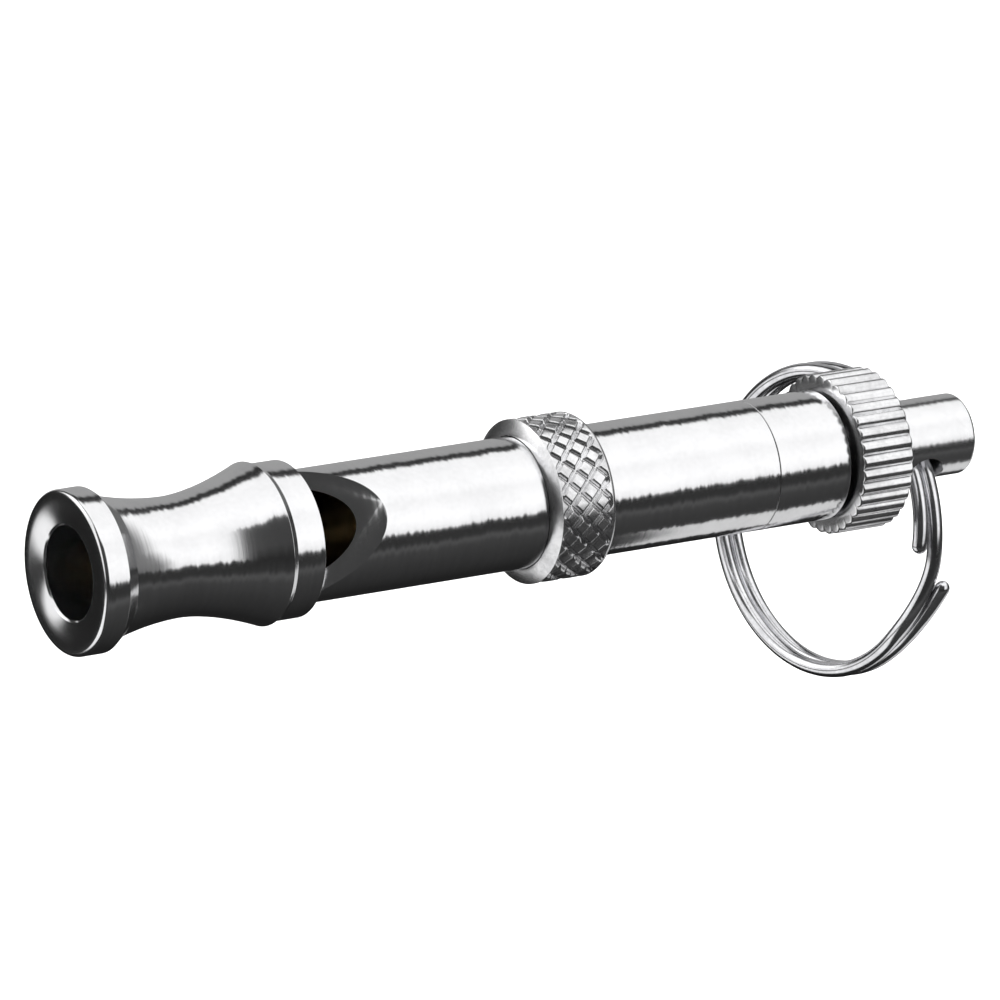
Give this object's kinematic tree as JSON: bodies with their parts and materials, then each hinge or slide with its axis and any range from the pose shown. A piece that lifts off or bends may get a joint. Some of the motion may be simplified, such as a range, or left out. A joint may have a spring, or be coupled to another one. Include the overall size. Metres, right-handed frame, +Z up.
{
  "type": "silent dog whistle",
  "caption": "Adjustable silent dog whistle: hourglass mouthpiece, windowed tube, knurled grip, tuning screw, serrated lock nut and split ring.",
  "frame": {"origin": "on the whistle's axis inside the knurled grip band, where finger and thumb hold it", "axes": "+X along the axis from the mouthpiece towards the tuning screw, +Z up, -Y the side that the sound window faces"},
  "size_m": [0.0693, 0.0237, 0.0232],
  "materials": {
    "polished_plate": "polished nickel plate with fine turning marks",
    "knurled_plate": "diamond-knurled nickel plate",
    "nut_plate": "serrated nickel plate",
    "screw_plate": "satin-polished nickel plate",
    "ring_steel": "bright plated spring wire",
    "brass": "as turned",
    "seal_rubber": "moulded",
    "pin_steel": "ground"
  },
  "bodies": {
    "whistle_body": {"mouthpiece": "polished_plate", "windway_plug": "brass", "body_tube": "polished_plate", "grip_band": "knurled_plate", "end_bush": "polished_plate"},
    "piston_unit": {"piston": "brass", "piston_seal": "seal_rubber", "swivel_pin": "pin_steel"},
    "tuning_screw": {"tuning_screw": "screw_plate"},
    "lock_nut": {"lock_nut": "nut_plate"},
    "split_ring": {"split_ring": "ring_steel"}
  },
  "joints": [
    {"name": "piston_slide", "type": "slide", "parent": "whistle_body", "child": "piston_unit", "axis": [1, 0, 0], "range_m": [0, 0.012]},
    {"name": "screw_turn", "type": "hinge", "parent": "piston_unit", "child": "tuning_screw", "pos_m": [0, 0, 0], "axis": [1, 0, 0], "range_deg": [0, 5400]},
    {"name": "nut_turn", "type": "hinge", "parent": "whistle_body", "child": "lock_nut", "pos_m": [0.02407, 0, 0], "axis": [1, 0, 0], "continuous": true},
    {"name": "ring_swing", "type": "hinge", "parent": "tuning_screw", "child": "split_ring", "pos_m": [0.0292, 0, 0], "axis": [0, -0.682, -0.7314], "range_deg": [-60, 245]}
  ],
  "couplings": [
    {"joint": "piston_slide", "follows": "screw_turn", "m_per_rad": 0.00012732}
  ]
}
